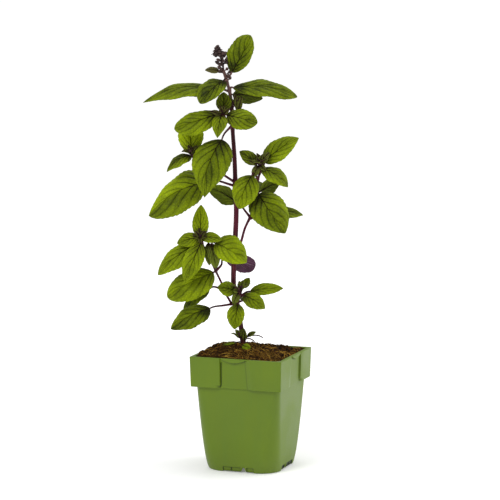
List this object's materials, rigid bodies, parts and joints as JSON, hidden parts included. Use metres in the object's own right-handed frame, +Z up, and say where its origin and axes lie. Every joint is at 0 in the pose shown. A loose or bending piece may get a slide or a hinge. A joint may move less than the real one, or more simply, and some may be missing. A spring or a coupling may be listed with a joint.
{
  "type": "potted basil plant",
  "caption": "Purple-stemmed basil plant with toothed green leaves in opposite pairs and a flower spike, rooted in a square green plastic nursery pot.",
  "frame": {"origin": "centre of the pot's underside, on the ground", "axes": "+Z up along the pot's axis, +X and +Y square to two sides of the pot; the leafy side that the picture shows is seen from -Y turned 20 degrees towards +X"},
  "size_m": [0.1717, 0.11, 0.4943],
  "materials": {
    "pot_plastic": "satin",
    "potting_mix": "matte",
    "stem_skin": "satin",
    "flower_bracts": "matte",
    "young_leaf": "satin",
    "purple_leaf": "satin",
    "green_leaf": "satin"
  },
  "bodies": {
    "root": {"fallen_leaf_front": "green_leaf", "fallen_leaf_left": "green_leaf", "flower_spike": "flower_bracts", "leaf_branch_back": "green_leaf", "leaf_branch_large": "green_leaf", "leaf_bright_front": "green_leaf", "leaf_crossing": "green_leaf", "leaf_crown_back": "green_leaf", "leaf_crown_front": "green_leaf", "leaf_crown_left": "green_leaf", "leaf_crown_right": "green_leaf", "leaf_crown_up": "green_leaf", "leaf_dark_middle": "green_leaf", "leaf_dark_right": "green_leaf", "leaf_far_right": "green_leaf", "leaf_hanging_back": "green_leaf", "leaf_hanging_front": "green_leaf", "leaf_large_right": "green_leaf", "leaf_low_back": "green_leaf", "leaf_low_dark": "green_leaf", "leaf_low_large": "green_leaf", "leaf_lowest": "green_leaf", "leaf_purple_back": "purple_leaf", "leaf_right_back": "green_leaf", "leaf_right_down": "green_leaf", "leaf_right_inner": "green_leaf", "leaf_right_up": "green_leaf", "leaf_rosette_back": "green_leaf", "leaf_rosette_front": "green_leaf", "leaf_rosette_left": "green_leaf", "leaf_rosette_long": "green_leaf", "leaf_rosette_right": "green_leaf", "leaf_rosette_up": "green_leaf", "leaf_shoot_down": "green_leaf", "leaf_shoot_front": "green_leaf", "leaf_shoot_left": "green_leaf", "leaf_shoot_right": "green_leaf", "leaf_shoot_up": "green_leaf", "leaf_side_left": "green_leaf", "leaf_side_up": "green_leaf", "leaf_top_front": "green_leaf", "leaf_top_left": "green_leaf", "leaf_top_right": "green_leaf", "leaf_top_small": "green_leaf", "leaf_top_under": "green_leaf", "leaf_top_up": "green_leaf", "main_stem": "stem_skin", "pot": "pot_plastic", "potting_soil": "potting_mix", "shoot_foot": "young_leaf", "shoot_tip_axil": "young_leaf", "shoot_tip_crown": "young_leaf", "shoot_tip_inner": "young_leaf", "shoot_tip_left": "young_leaf", "shoot_tip_low": "young_leaf", "shoot_tip_right": "young_leaf", "shoot_tip_rosette": "young_leaf"}
  },
  "joints": []
}
